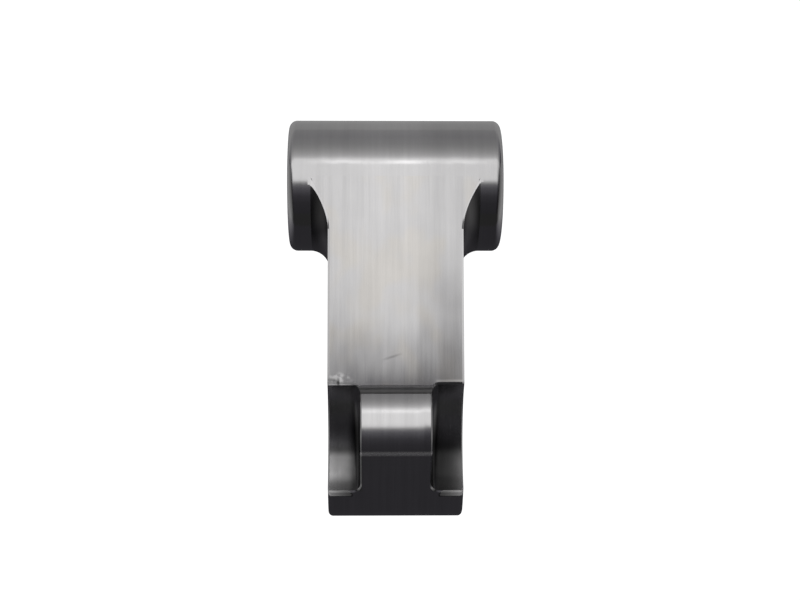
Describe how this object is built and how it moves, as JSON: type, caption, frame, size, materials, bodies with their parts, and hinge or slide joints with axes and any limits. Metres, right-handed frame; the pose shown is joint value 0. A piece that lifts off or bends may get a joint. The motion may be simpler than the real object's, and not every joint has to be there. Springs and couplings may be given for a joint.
{
  "type": "rocker arm",
  "caption": "Finger-type valve rocker arm: a bored pivot boss, a broad arm with a ground flat, a raised slipper pad between milled reliefs, and a bevelled nose with a valve contact.",
  "frame": {"origin": "centre of the pivot bore, midway between the two ends of the boss", "axes": "+X runs along the pivot bore, +Z is the outward normal of the ground flat, and the arm reaches from the bore along -Y to the cam pad and the nose"},
  "size_m": [0.0322, 0.0604, 0.0225],
  "materials": {
    "steel": "ground"
  },
  "bodies": {
    "root": {"rocker_arm": "steel"}
  },
  "joints": []
}
